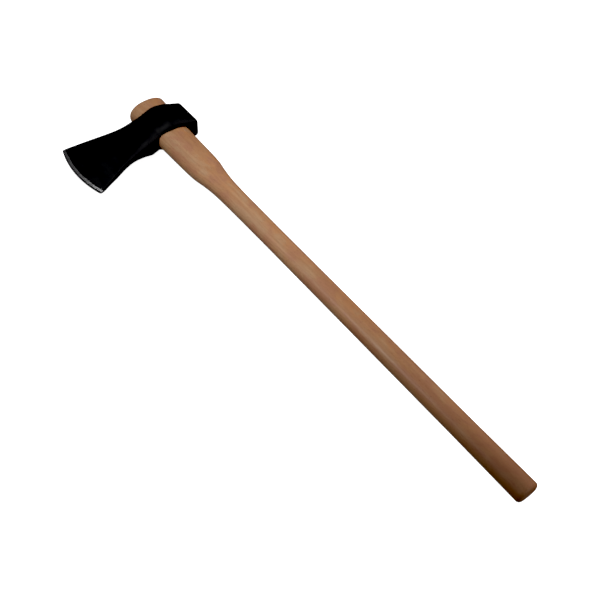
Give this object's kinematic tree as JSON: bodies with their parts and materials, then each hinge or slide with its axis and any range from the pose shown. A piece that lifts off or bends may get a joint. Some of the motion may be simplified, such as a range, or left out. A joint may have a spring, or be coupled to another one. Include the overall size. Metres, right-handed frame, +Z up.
{
  "type": "splitting maul",
  "caption": "Long splitting maul: black forged wedge head with a ground cutting edge, slipped onto the flared top of a straight beech haft.",
  "frame": {"origin": "middle of the bounding box's footprint, level with the lowest point of the head's cheek, the maul lying on its side", "axes": "+X along the haft from the butt to the head, +Y from the poll towards the cutting edge, +Z up through the head's cheeks"},
  "size_m": [0.9014, 0.2245, 0.063],
  "materials": {
    "beech": "smooth sanded beech under a thin clear finish, long straight grain with fine flecks",
    "black_paint": "satin black paint over forged steel, with a bare ground bevel along the cutting edge"
  },
  "bodies": {
    "haft": {"haft": "beech"},
    "head": {"maul_head": "black_paint"}
  },
  "joints": [
    {"name": "head_slide", "type": "slide", "parent": "haft", "child": "head", "axis": [-1, 0, 0], "range_m": [0, 0.9]}
  ]
}
